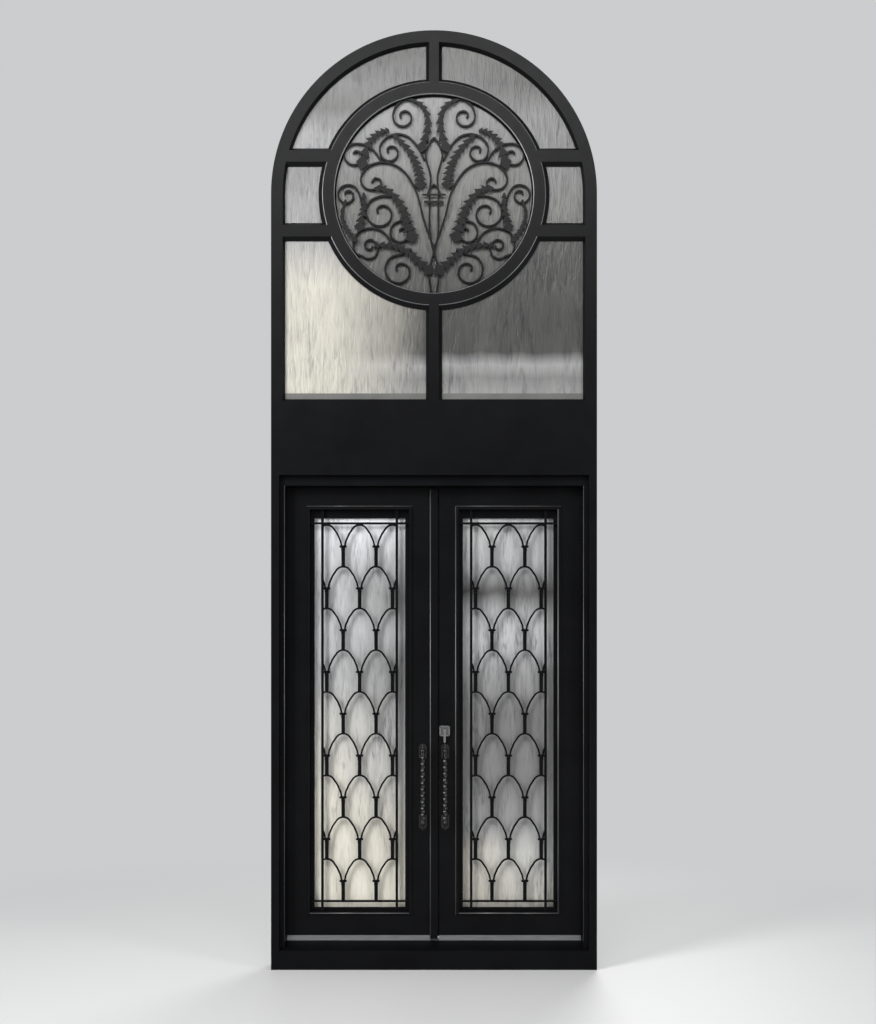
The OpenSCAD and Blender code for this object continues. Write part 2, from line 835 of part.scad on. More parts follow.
module hinge_pins() {
    color(nickel) for (s = [-1, 1], z = hinge_heights)
        translate([s * hinge_x, hinge_y, z - hinge_half - seat_gap])
            cylinder(r = hinge_pin_r, h = 2 * hinge_half);
}

module right_hinge_halves() {
    hinge_halves(0, hinge_x - hinge_r / 2 - hinge_plate_w, hinge_x - hinge_r / 2, hinge_pin_r + running_play);
}

module left_hinge_halves() {
    on_left() right_hinge_halves();
}

// Leaves, drawn on the right

module stile(x0, x1) {
    t = wall_t;
    difference() {
        box([x0, leaf_front, leaf_z0], [x1, y_back, leaf_z1]);
        box([x0 + t, leaf_front + t, leaf_z0 + t], [x1 - t, y_back - t, leaf_z1 - t]);
    }
}

module rail(z0, z1) {
    t = [wall_t, wall_t];
    color(iron) along_x(opening_near, opening_far) difference() {
        rect([leaf_front, z0], [y_back, z1]);
        rect([leaf_front, z0] + t, [y_back, z1] - t);
    }
}

module right_hinge_stile() {
    color(iron) stile(opening_far, leaf_x1);
}

module left_hinge_stile() {
    on_left() right_hinge_stile();
}

module right_top_rail() {
    rail(opening_z1, leaf_z1);
}

module left_top_rail() {
    on_left() right_top_rail();
}

module right_bottom_rail() {
    rail(leaf_z0, opening_z0);
}

module left_bottom_rail() {
    on_left() right_bottom_rail();
}

// The glazed opening grown by g on every side
module opening(g) {
    rect([opening_near - g, opening_z0 - g], [opening_far + g, opening_z1 + g]);
}

module opening_frame(outer, inner) {
    difference() {
        opening(outer);
        opening(inner);
    }
}

module right_moulding() {
    color(iron) {
        slab(leaf_front - moulding_proud, leaf_front - moulding_step)
            opening_frame(moulding_lap / 2, -moulding_lip);
        slab(leaf_front - moulding_step, leaf_front) opening_frame(moulding_lap, -moulding_lip);
        slab(leaf_front, door_glass_y) opening_frame(0, -moulding_lip);
        slab(door_glass_y - sash_t, door_glass_y) difference() {
            opening(0);
            rect([opening_near + sash_side, opening_z0 + sash_foot], [opening_far - sash_side, opening_z1 - sash_top]);
        }
    }
}

module left_moulding() {
    on_left() right_moulding();
}

module right_glass() {
    color(clear_glass, 0.4) slab(door_glass_y, door_bead_y) opening(-glass_edge_gap);
}

module left_glass() {
    on_left() right_glass();
}

module right_bead() {
    color(iron) slab(door_bead_y, y_back) opening_frame(0, -bead_w);
}

module left_bead() {
    on_left() right_bead();
}

// The middle line of one scale, from foot to foot, with its top at the origin
scale_half =
    let (s = scale_top_r * [sin(scale_top_angle), cos(scale_top_angle) - 1],
        d = [scale_leg_x, -scale_rise] - s,
        bend = 2 * (atan2(-d[1], d[0]) - scale_top_angle),
        r = norm(d) / (2 * sin(bend / 2)))
    concat(
        [for (i = [1:top_steps])
            let (a = scale_top_angle * i / top_steps) scale_top_r * [sin(a), cos(a) - 1]],
        [for (i = [1:leg_steps])
            let (a = scale_top_angle + bend * i / leg_steps)
            s + r * [sin(a) - sin(scale_top_angle), cos(a) - cos(scale_top_angle)]],
        [[scale_leg_x, -row_pitch]]);
scale_line = concat(
    [for (i = [len(scale_half) - 1:-1:0]) [-scale_half[i][0], scale_half[i][1]]], [[0, 0]], scale_half);

// One scale at x, or as much of it as fits between the upright bars
module one_scale(x) {
    if (abs(x) + scale_pitch / 2 <= scale_clip)
        translate([x, 0]) polygon(band(scale_line, scale_bar_w));
    else
        intersection() {
            translate([x, 0]) polygon(band(scale_line, scale_bar_w));
            rect([-scale_clip, -row_pitch], [scale_clip, scale_bar_w]);
        }
}

// The middles of the scales of a row
function row_middles(row) =
    let (shift = row % 2 == 0 ? 0 : 0.5, n = ceil(scale_clip / scale_pitch) + 1)
    [for (i = [-n:n]) let (x = (i + shift) * scale_pitch)
        if (abs(x) - scale_leg_x < scale_clip - scale_bar_w / 2) x];

module right_grille() {
    color(iron) translate([grille_x, 0, 0]) slab(grille_y0, grille_y1) {
        for (s = [-1, 1])
            translate([s * grille_bar_x, (opening_z0 + opening_z1) / 2])
                square([grille_bar_w, opening_z1 - opening_z0 - 2 * moulding_lip], center = true);
        for (z = [cross_z0, cross_z1])
            translate([0, z]) square([opening_w - 2 * moulding_lip, cross_bar_h], center = true);
        for (row = [0:scale_rows - 1], x = row_middles(row))
            translate([0, scale_z1 - scale_bar_w / 2 + scale_weld - row * row_pitch]) one_scale(x);
    }
}

module left_grille() {
    on_left() right_grille();
}

// One collar: a waist round the two legs and a crown with a curl at each end
module collar() {
    curl_x = collar_w / 2 - collar_curl_r;
    curl_z = collar_h / 2 - collar_curl_r;
    union() {
        square([2 * scale_bar_w + collar_wrap, collar_h], center = true);
        translate([0, curl_z - collar_curl_r / 2]) square([2 * curl_x, collar_curl_r], center = true);
        for (s = [-1, 1])
            translate([s * curl_x, curl_z]) circle(r = collar_curl_r, $fn = 64);
    }
}

module right_collars() {
    feet = [for (row = [0:scale_rows - 1], x = row_middles(row + 1))
        if (abs(x) < scale_clip - scale_bar_w) [x, row]];
    color(iron) translate([grille_x, 0, 0]) slab(grille_y0 - collar_t, grille_y0)
        for (f = feet)
            translate([f[0], scale_z1 - f[1] * row_pitch - scale_rise]) intersection() {
                collar();
                translate([-f[0], 0]) square([2 * scale_clip, 2 * collar_h], center = true);
            }
}

module left_collars() {
    on_left() right_collars();
}

module right_sweep() {
    color(bright_alloy)
        box([right_edge + seat_gap, leaf_front - sweep_t, sill_h + past],
            [stop_x - seal_w / 2, leaf_front, sill_h + past + sweep_h]);
}

module left_sweep() {
    color(bright_alloy) on_left()
        box([left_edge + seat_gap, leaf_front - sweep_t, sill_h + past],
            [stop_x - seal_w / 2, leaf_front, sill_h + past + sweep_h]);
}

// Pull handles, drawn on the outside of the right leaf

// One end of a pull: plate, post, ball, collar and finial, towards +Z
module pull_end() {
    plate_r = pull_plate_w / 2;
    slab(leaf_front - pull_plate_t, leaf_front) union() {
        translate([0, pull_half - plate_r]) circle(r = plate_r);
        rect([-plate_r, pull_half - pull_plate_h], [plate_r, pull_half - plate_r]);
    }
    rod_y(0, pull_post_z, pull_y, leaf_front - pull_plate_t, pull_post_r);
    translate([0, pull_y, pull_post_z]) {
        sphere(r = pull_ball_r);
        cylinder(r1 = pull_finial_r, r2 = pull_tip_r, h = pull_half - pull_post_z);
        translate([0, 0, -pull_ball_r - pull_collar_t]) cylinder(r = pull_collar_r, h = pull_ball_r + pull_collar_t);
    }
}

module pull() {
    grip = 2 * (pull_post_z - pull_ball_r - pull_collar_t);
    color(iron) translate([pull_x, 0, pull_z]) {
        for (s = [0, 1])
            mirror([0, 0, s]) union() pull_end();
        translate([0, pull_y, -grip / 2])
            linear_extrude(height = grip, twist = 360 * pull_turns, slices = twist_slices, segments = 4)
                square(pull_bar_w, center = true);
    }
}

module right_pulls() {
    pull();
    on_inside() pull();
}

module left_pulls() {
    on_left() right_pulls();
}

// Meeting edge of the left leaf

module astragal() {
    t = wall_t;
    y1 = y_back - t;
    color(iron) difference() {
        union() {
            box([-left_edge, leaf_front + past, leaf_z0 + t], [left_edge, y1, leaf_z1 - t]);
            box([-left_edge, leaf_front - astragal_proud, leaf_z0 + t],
                [left_edge, leaf_front + past, head_stop_z - leaf_gap]);
        }
        box([t - left_edge, leaf_front + t, leaf_z0], [left_edge - t, y1 - t, leaf_z1]);
        strike_room(bolt_play);
    }
}

// The room of the strike plate, with some play round it
module strike_room(play) {
    box([left_edge - wall_t - play, bolt_y0 - faceplate_side - play, bolt_z0 - faceplate_end - play],
        [left_edge + play, bolt_y1 + faceplate_side + play, bolt_z1 + faceplate_end + play]);
}

// The room of the deadbolt, with play round it
module bolt_room(x0, x1) {
    box([x0, bolt_y0 - bolt_play, bolt_z0 - bolt_play], [x1, bolt_y1 + bolt_play, bolt_z1 + bolt_play]);
}

module strike_plate() {
    color(nickel) difference() {
        intersection() {
            strike_room(0);
            box([left_edge - wall_t, y_front, 0], [left_edge, y_back, door_h]);
        }
        bolt_room(0, right_edge);
    }
}

module meeting_seal() {
    y1 = y_back - 2 * wall_t;
    color(black_rubber)
        box([left_edge, y1 - seal_w, leaf_z0 + 2 * wall_t],
            [left_edge + pile_t, y1, leaf_z1 - 2 * wall_t]);
}

// The slot of a flush bolt's shank, through the given depth, with play round it
module shank_slot(z, y0, y1) {
    r = flush_shank_r + slot_play;
    box([-flush_x - r, y0, z], [-flush_x + r, y1, z + flush_travel]);
    for (end = [z, z + flush_travel])
        rod_y(-flush_x, end, y0, y1, r);
}

module left_meeting_stile() {
    color(iron) difference() {
        on_left() stile(left_edge, opening_near);
        translate([-flush_x, flush_y, leaf_z0 - past])
            cylinder(r = flush_r + running_play, h = leaf_z1 - leaf_z0 + 2 * past);
        shank_slot(top_shank_z, y_back - wall_t - past, y_back + past);
        shank_slot(bottom_shank_z - flush_travel, y_back - wall_t - past, y_back + past);
    }
}

module flush_plate(z) {
    h = flush_travel + 2 * flush_plate_margin;
    difference() {
        translate([-flush_x, 0, z + flush_travel / 2]) slab(y_back, y_back + flush_plate_t)
            round_rect(flush_plate_w, h, flush_plate_w / 4);
        shank_slot(z, y_back - past, y_back + flush_plate_t + past);
    }
}

module bolt_plates() {
    color(nickel) {
        flush_plate(top_shank_z);
        flush_plate(bottom_shank_z - flush_travel);
    }
}

module flush_bolt(rod_z, shank_z) {
    y1 = y_back + flush_plate_t + seat_gap;
    color(nickel) {
        translate([-flush_x, flush_y, rod_z]) cylinder(r = flush_r, h = flush_len);
        rod_y(-flush_x, shank_z, flush_y, y1 + past, flush_shank_r);
        rod_y(-flush_x, shank_z, y1, y1 + flush_knob_l, flush_knob_r);
    }
}

module top_flush_bolt() {
    flush_bolt(leaf_z1 - flush_end - flush_len, top_shank_z);
}

module bottom_flush_bolt() {
    flush_bolt(leaf_z0 + flush_end, bottom_shank_z);
}

// Lock on the right leaf

// The outline of the lock's faceplate in depth and height, with play round it
module faceplate(play) {
    rect([case_y0 - faceplate_side - play, case_z0 - faceplate_end - play],
        [case_y1 + faceplate_side + play, case_z1 + faceplate_end + play]);
}

module right_meeting_stile() {
    color(iron) difference() {
        stile(right_edge, opening_near);
        along_x(right_edge - past, right_edge + wall_t) faceplate(bolt_play);
        rod_y(lock_x, lock_z, leaf_front - past, y_back + past, spindle_hole_r);
    }
}

module lock_case() {
    t = case_t;
    x0 = right_edge + wall_t;
    color(nickel) difference() {
        union() {
            along_x(right_edge, x0) faceplate(0);
            box([x0, case_y0, case_z0], [case_x1, case_y1, case_z1]);
        }
        box([x0 + t, case_y0 + t, case_z0 + t], [case_x1 - t, case_y1 - t, case_z1 - t]);
        bolt_room(right_edge - past, x0 + t + past);
        rod_y(lock_x, lock_z, case_y0 - past, case_y1 + past, spindle_r + running_play);
    }
}

module rosette() {
    color(nickel) translate([lock_x, 0, lock_z]) difference() {
        slab(leaf_front - rosette_t, leaf_front) round_rect(rosette_w, rosette_w, rosette_r);
        slab(leaf_front - rosette_t - past, leaf_front - rosette_t + rosette_dish)
            round_rect(rosette_w - 2 * rosette_rim, rosette_w - 2 * rosette_rim, rosette_r / 2);
        rod_y(0, 0, leaf_front - rosette_t - past, leaf_front + past, hub_r + running_play);
    }
}

module lock_rosettes() {
    rosette();
    on_inside() rosette();
}

// The hub that turns in a rosette, bored for the spindle
module hub() {
    front = leaf_front - rosette_t - lever_stand;
    difference() {
        union() {
            rod_y(0, 0, front, leaf_front - past, hub_r);
            children();
        }
        rod_y(0, 0, front + spindle_seat, leaf_front + past, spindle_r + pressed_play);
    }
}

module turn_lever() {
    front = leaf_front - rosette_t - lever_stand;
    tip = lever_w / 2;
    color(nickel) translate([lock_x, 0, lock_z]) hub()
        slab(front, front + lever_t) {
            rect([-tip, tip - lever_len], [tip, 0]);
            translate([0, tip - lever_len]) circle(r = tip);
        }
}

module thumb_turn() {
    front = leaf_front - rosette_t - lever_stand;
    color(nickel) on_inside() translate([lock_x, 0, lock_z]) hub()
        slab(front - thumb_proud, front + past) round_rect(thumb_w, thumb_l, thumb_w / 3);
}

module lock_spindle() {
    reach = rosette_t + lever_stand - spindle_seat;
    color(nickel) translate([lock_x, 0, lock_z]) {
        rod_y(0, 0, leaf_front - reach, y_back + reach, spindle_r);
        slab(cam_y0, cam_y1) {
            circle(r = cam_hub_r);
            rotate(-45) translate([-cam_pin_r, 0]) square([2 * cam_pin_r, cam_r]);
        }
        rod_y(cam_r * cos(45), cam_r * sin(45), bolt_y0 + past, cam_y1, cam_pin_r);
    }
}

module deadbolt() {
    r = cam_pin_r + cam_slot_play;
    slot_z = lock_z + cam_r + r;
    color(nickel) difference() {
        box([bolt_tip_x, bolt_y0, bolt_z0], [bolt_end_x, bolt_y1, bolt_z1]);
        box([cam_pin_x - r, bolt_y0 - past, bolt_z0 - past], [cam_pin_x + r, bolt_y1 + past, slot_z]);
    }
}

left_jamb();
right_jamb();
door_head();
threshold();
mull_box();
transom_left_stile();
transom_right_stile();
transom_arch();
transom_ring();
top_bar();
bottom_bar();
side_bars();
round_pane();
top_panes();
side_panes();
low_panes();
transom_beads();
scroll_bars();
scroll_leaves();
scroll_collar();
hinge_frame_halves();
hinge_pins();
frame_seals();
bolt_keepers();
left_hinge_stile();
left_meeting_stile();
left_top_rail();
left_bottom_rail();
left_moulding();
left_glass();
left_bead();
left_grille();
left_collars();
left_pulls();
left_hinge_halves();
left_sweep();
astragal();
meeting_seal();
strike_plate();
top_flush_bolt();
bottom_flush_bolt();
bolt_plates();
right_hinge_stile();
right_meeting_stile();
right_top_rail();
right_bottom_rail();
right_moulding();
right_glass();
right_bead();
right_grille();
right_collars();
right_pulls();
right_hinge_halves();
right_sweep();
lock_case();
lock_rosettes();
turn_lever();
lock_spindle();
thumb_turn();
deadbolt();
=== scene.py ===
"""Looks of a pair of wrought-iron french doors under an arched transom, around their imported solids."""

import math
from collections import namedtuple

import bmesh
import bpy
from mathutils import Matrix, Vector


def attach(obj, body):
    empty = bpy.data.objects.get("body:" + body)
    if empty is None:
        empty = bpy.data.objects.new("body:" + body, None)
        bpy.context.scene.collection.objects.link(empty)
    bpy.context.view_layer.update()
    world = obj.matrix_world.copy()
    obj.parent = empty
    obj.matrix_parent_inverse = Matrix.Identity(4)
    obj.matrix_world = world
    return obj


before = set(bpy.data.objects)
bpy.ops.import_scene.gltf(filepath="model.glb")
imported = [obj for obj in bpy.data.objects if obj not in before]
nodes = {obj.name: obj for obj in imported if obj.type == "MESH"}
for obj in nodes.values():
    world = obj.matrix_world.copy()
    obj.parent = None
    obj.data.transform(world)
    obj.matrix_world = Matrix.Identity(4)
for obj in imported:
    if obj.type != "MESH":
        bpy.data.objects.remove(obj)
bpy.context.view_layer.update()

# Tones of the reflections painted on the glass
CREAM = (0.68, 0.65, 0.56)
SAND = (0.46, 0.44, 0.385)
WHITE = (0.84, 0.86, 0.88)
PALE = (0.60, 0.61, 0.60)
LIGHT = (0.46, 0.47, 0.47)
SILVER = (0.33, 0.335, 0.34)
MIDDLE_GREY = (0.25, 0.25, 0.25)
SLATE = (0.16, 0.16, 0.158)
DUSK = (0.105, 0.104, 0.099)
NIGHT = (0.054, 0.054, 0.052)

# Where the reflections painted on each pane run, and their tones from its foot to its head at either side
GLASS_NODES = {
    "top_panes": {
        "foot": 4.0,
        "head": 4.64,
        "left": -0.6,
        "right": 0.6,
        "left_reflection_tones": [(0.0, MIDDLE_GREY), (0.3, MIDDLE_GREY), (0.5, DUSK), (0.7, SLATE), (1.0, NIGHT)],
        "right_reflection_tones": [(0.0, SLATE), (0.45, SLATE), (0.7, NIGHT), (1.0, DUSK)],
    },
    "side_panes": {
        "foot": 3.7,
        "head": 4.07,
        "left": -0.6,
        "right": 0.6,
        "left_reflection_tones": [(0.0, MIDDLE_GREY), (1.0, SLATE)],
        "right_reflection_tones": [(0.0, DUSK), (1.0, SLATE)],
    },
    "low_panes": {
        "foot": 2.85,
        "head": 3.67,
        "left": -0.52,
        "right": -0.02,
        "left_reflection_tones": [(0.0, SAND), (0.7, SAND), (1.0, MIDDLE_GREY)],
        "right_reflection_tones": [(0.0, MIDDLE_GREY), (0.14, SLATE), (0.22, MIDDLE_GREY), (0.3, NIGHT), (1.0, NIGHT)],
    },
    "round_pane": {
        "foot": 3.4,
        "head": 4.37,
        "left": -0.5,
        "right": 0.5,
        "left_reflection_tones": [(0.0, NIGHT), (0.5, DUSK), (1.0, MIDDLE_GREY)],
        "right_reflection_tones": [(0.0, NIGHT), (0.5, DUSK), (1.0, SLATE)],
    },
    "left_glass": {
        "foot": 0.27,
        "head": 2.32,
        "left": -0.63,
        "right": -0.13,
        "left_reflection_tones": [(0.0, CREAM), (0.3, CREAM), (0.6, LIGHT), (0.85, LIGHT), (1.0, WHITE)],
        "right_reflection_tones": [
            (0.0, CREAM), (0.2, SAND), (0.35, SILVER), (0.5, MIDDLE_GREY), (0.62, SLATE), (0.7, SILVER),
            (0.79, SLATE), (0.86, SILVER), (1.0, WHITE),
        ],
    },
    "right_glass": {
        "foot": 0.27,
        "head": 2.32,
        "left": 0.13,
        "right": 0.63,
        "left_reflection_tones": [
            (0.0, SAND), (0.14, SAND), (0.2, MIDDLE_GREY), (0.3, SLATE), (0.48, SLATE), (0.56, MIDDLE_GREY),
            (0.68, LIGHT), (0.74, SILVER), (0.79, NIGHT), (0.85, SILVER), (1.0, PALE),
        ],
        "right_reflection_tones": [
            (0.0, SAND), (0.14, LIGHT), (0.22, MIDDLE_GREY), (0.34, SLATE), (0.5, SLATE), (0.6, MIDDLE_GREY),
            (0.7, LIGHT), (0.8, DUSK), (0.88, SILVER), (1.0, SILVER),
        ],
    },
}

# Solids by their finish, and those with a wider soft edge
NICKEL_NODES = (
    "bolt_keepers", "strike_plate", "bolt_plates", "lock_case", "lock_rosettes", "hinge_pins",
    "top_flush_bolt", "bottom_flush_bolt", "lock_spindle", "thumb_turn", "deadbolt",
)
BRIGHT_NODES = ("turn_lever",)
RUBBER_NODES = ("frame_seals", "meeting_seal")
SWEEP_NODES = ("left_sweep", "right_sweep")
FOLIAGE_NODES = ("scroll_leaves", "scroll_collar")
PULL_NODES = ("left_pulls", "right_pulls")
WIDE_EDGE_NODES = (
    "transom_ring", "transom_arch", "transom_left_stile", "transom_right_stile", "top_bar", "bottom_bar",
    "side_bars", "astragal", "left_jamb", "right_jamb", "door_head", "mull_box", "threshold",
)

# Painted sheen of the iron: its shine grows with height from the doors to the transom, so the upper parts
# read lighter
PAINTED_SHEEN_FOOT = 2.5
PAINTED_SHEEN_HEAD = 4.3
PAINTED_SHEEN_GAIN = 2.6

# Cloudy tone, wear and grain of the iron, the metals and the rubber
CLOUD_SCALE = 6.0
DARK_STOP = 0.3
LIGHT_STOP = 0.7
WEAR_SCALE = 22.0
WEAR = 0.06
GRAIN_DEPTH = 0.001
BRUSH_SCALE = 60.0
BRUSH_WEAR = 0.08
RUBBER_SCALE = 40.0
RUBBER_ROUGHNESS = 0.8
RUBBER_DARK = (0.008, 0.008, 0.008)
RUBBER_LIGHT = (0.014, 0.014, 0.014)

# Rivulets of the glass, and the drift of the reflections painted on it
GLASS_ROUGHNESS = 0.2
GLASS_CLEAR = 0.12
GLASS_IOR = 1.5
GLASS_SHINE = 0.3
DRIFT_STRETCH = (2.0, 1.0, 1.0)
DRIFT_SCALE = 2.6
DRIFT = 0.2
LEVEL_DRIFT = 0.2
WIDE_STRETCH = (42.0, 1.0, 7.0)
WIDE_WAVE = 0.8
WIDE_SHARE = 0.65
FINE_STRETCH = (120.0, 1.0, 16.0)
FINE_WAVE = 0.5
FINE_SHARE = 0.35
RIVULET_SCALE = 1.0
RIVULET_DETAIL = 4.0
RIVULET_SHADES = [(0.36, (0.45, 0.46, 0.48)), (0.48, (0.85, 0.85, 0.86)), (0.62, (1.0, 1.0, 1.0))]
RIVULET_RELIEF = 0.5
RIVULET_DEPTH = 0.012
PATCH_STRETCH = (3.0, 1.0, 1.6)
PATCH_LOW = 0.4
PATCH_HIGH = 0.62
PATCH_FAINT = 0.3
PATCH_FULL = 1.0


# Materials

NEW_STOP = 0.5
OPAQUE = 1.0


def new_material(name, roughness, metallic=0.0):
    """A material with its node tree, its shader and its coordinates."""
    material = bpy.data.materials.new(name)
    material.use_nodes = True
    tree = material.node_tree
    shader = tree.nodes["Principled BSDF"]
    shader.inputs["Roughness"].default_value = roughness
    shader.inputs["Metallic"].default_value = metallic
    place = tree.nodes.new("ShaderNodeTexCoord")
    return material, tree, shader, place.outputs["Object"]


def stretched(tree, place, scale):
    """Coordinates stretched along each axis."""
    mapping = tree.nodes.new("ShaderNodeMapping")
    mapping.inputs["Scale"].default_value = scale
    tree.links.new(place, mapping.inputs["Vector"])
    return mapping.outputs["Vector"]


def noise(tree, vector, scale, detail=3.0, distortion=0.0):
    """The value of a noise texture."""
    texture = tree.nodes.new("ShaderNodeTexNoise")
    texture.inputs["Scale"].default_value = scale
    texture.inputs["Detail"].default_value = detail
    texture.inputs["Distortion"].default_value = distortion
    tree.links.new(vector, texture.inputs["Vector"])
    return texture.outputs["Fac"]


def ramp(tree, value, stops):
    """A colour ramp over a value from 0 to 1."""
    node = tree.nodes.new("ShaderNodeValToRGB")
    elements = node.color_ramp.elements
    while len(elements) < len(stops):
        elements.new(NEW_STOP)
    for element, (position, colour) in zip(elements, stops):
        element.position = position
        element.color = (*colour, OPAQUE)
    tree.links.new(value, node.inputs["Fac"])
    return node.outputs["Color"]


def calculate(tree, operation, first, second):
    """One step of arithmetic on values or sockets."""
    node = tree.nodes.new("ShaderNodeMath")
    node.operation = operation
    for socket, given in zip(node.inputs, (first, second)):
        if isinstance(given, (int, float)):
            socket.default_value = given
        else:
            tree.links.new(given, socket)
    return node.outputs["Value"]


def limits(tree, value, low, high):
    """A value from 0 to 1 spread between two limits."""
    node = tree.nodes.new("ShaderNodeMapRange")
    node.inputs["To Min"].default_value = low
    node.inputs["To Max"].default_value = high
    tree.links.new(value, node.inputs["Value"])
    return node.outputs["Result"]


def spread(tree, value, low, high):
    """A value from 0 to 1 between two limits."""
    node = tree.nodes.new("ShaderNodeMapRange")
    node.inputs["From Min"].default_value = low
    node.inputs["From Max"].default_value = high
    tree.links.new(value, node.inputs["Value"])
    return node.outputs["Result"]


def blend_colours(tree, share, first, second, blend="MIX"):
    """Two colours blended by a share."""
    node = tree.nodes.new("ShaderNodeMix")
    node.data_type = "RGBA"
    node.blend_type = blend
    colours = [socket for socket in node.inputs if socket.type == "RGBA"]
    tree.links.new(share, node.inputs["Factor"])
    for socket, given in zip(colours, (first, second)):
        tree.links.new(given, socket)
    return [socket for socket in node.outputs if socket.type == "RGBA"][0]


def bump(tree, height, strength, distance, shader):
    """Small relief on the shader's normal."""
    node = tree.nodes.new("ShaderNodeBump")
    node.inputs["Strength"].default_value = strength
    node.inputs["Distance"].default_value = distance
    tree.links.new(height, node.inputs["Height"])
    tree.links.new(node.outputs["Normal"], shader.inputs["Normal"])


def split_axes(tree, place):
    """The coordinates along each axis."""
    axes = tree.nodes.new("ShaderNodeSeparateXYZ")
    tree.links.new(place, axes.inputs["Vector"])
    return axes.outputs


def painted_iron(name, dark, light, roughness, shine, grain, relief):
    """Satin paint over iron, with a faint grain, and a painted sheen that grows towards the transom so the
    upper parts read lighter.
    """
    material, tree, shader, place = new_material(name, roughness)
    # Painted sheen: the shine rises with height, standing in for more light on the upper parts
    height = spread(tree, split_axes(tree, place)["Z"], PAINTED_SHEEN_FOOT, PAINTED_SHEEN_HEAD)
    painted_sheen = limits(tree, height, shine, PAINTED_SHEEN_GAIN * shine)
    tree.links.new(painted_sheen, shader.inputs["Specular IOR Level"])
    cloud = noise(tree, place, CLOUD_SCALE)
    colour = ramp(tree, cloud, [(DARK_STOP, dark), (LIGHT_STOP, light)])
    tree.links.new(colour, shader.inputs["Base Color"])
    rough = limits(tree, noise(tree, place, WEAR_SCALE), roughness - WEAR, roughness + WEAR)
    tree.links.new(rough, shader.inputs["Roughness"])
    bump(tree, noise(tree, place, grain), relief, GRAIN_DEPTH, shader)
    return material


def bare_metal(name, dark, light, roughness, brush):
    """Metal with fine brush marks."""
    material, tree, shader, place = new_material(name, roughness, metallic=1.0)
    marks = noise(tree, stretched(tree, place, brush), BRUSH_SCALE)
    colour = ramp(tree, marks, [(DARK_STOP, dark), (LIGHT_STOP, light)])
    tree.links.new(colour, shader.inputs["Base Color"])
    rough = limits(tree, marks, roughness - BRUSH_WEAR, roughness + BRUSH_WEAR)
    tree.links.new(rough, shader.inputs["Roughness"])
    return material


def soft_rubber(name):
    """Matt black rubber."""
    material, tree, shader, place = new_material(name, RUBBER_ROUGHNESS)
    cloud = noise(tree, place, RUBBER_SCALE)
    colour = ramp(tree, cloud, [(DARK_STOP, RUBBER_DARK), (LIGHT_STOP, RUBBER_LIGHT)])
    tree.links.new(colour, shader.inputs["Base Color"])
    return material


def rain_glass(name, foot, head, left, right, left_reflection_tones, right_reflection_tones):
    """Glass with rivulets that run down it, under reflections painted in tones that change over it."""
    material, tree, shader, place = new_material(name, GLASS_ROUGHNESS)
    axes = split_axes(tree, place)
    drift = limits(tree, noise(tree, stretched(tree, place, DRIFT_STRETCH), DRIFT_SCALE), -DRIFT, DRIFT)
    small_drift = calculate(tree, "MULTIPLY", drift, LEVEL_DRIFT)
    level = calculate(tree, "ADD", spread(tree, axes["Z"], foot, head), small_drift)
    share = calculate(tree, "ADD", spread(tree, axes["X"], left, right), drift)
    side = spread(tree, share, 0.0, 1.0)
    # Painted reflections: the tones of the pane blended from its left to its right side
    tone = blend_colours(tree, side, ramp(tree, level, left_reflection_tones), ramp(tree, level, right_reflection_tones))
    wide = noise(tree, stretched(tree, place, WIDE_STRETCH), RIVULET_SCALE, RIVULET_DETAIL, WIDE_WAVE)
    fine = noise(tree, stretched(tree, place, FINE_STRETCH), RIVULET_SCALE, RIVULET_DETAIL, FINE_WAVE)
    wide_part = calculate(tree, "MULTIPLY", wide, WIDE_SHARE)
    fine_part = calculate(tree, "MULTIPLY", fine, FINE_SHARE)
    rivulets = calculate(tree, "ADD", wide_part, fine_part)
    shade = ramp(tree, rivulets, RIVULET_SHADES)
    cloud = noise(tree, stretched(tree, place, PATCH_STRETCH), RIVULET_SCALE)
    patches = limits(tree, spread(tree, cloud, PATCH_LOW, PATCH_HIGH), PATCH_FAINT, PATCH_FULL)
    colour = blend_colours(tree, patches, tone, shade, blend="MULTIPLY")
    tree.links.new(colour, shader.inputs["Base Color"])
    shader.inputs["Transmission Weight"].default_value = GLASS_CLEAR
    shader.inputs["IOR"].default_value = GLASS_IOR
    shader.inputs["Specular IOR Level"].default_value = GLASS_SHINE
    bump(tree, rivulets, RIVULET_RELIEF, RIVULET_DEPTH, shader)
    return material


IRON = painted_iron("satin_black_iron", dark=(0.0021, 0.0022, 0.0026), light=(0.0034, 0.0036, 0.0041),
                    roughness=0.36, shine=0.05, grain=700.0, relief=0.12)
FOLIAGE = painted_iron("forged_leaf_iron", dark=(0.003, 0.0031, 0.0034), light=(0.007, 0.007, 0.0076),
                       roughness=0.44, shine=0.07, grain=160.0, relief=0.5)
STRIP = painted_iron("glazing_strip", dark=(0.085, 0.085, 0.082), light=(0.115, 0.115, 0.11),
                     roughness=0.5, shine=0.15, grain=300.0, relief=0.05)
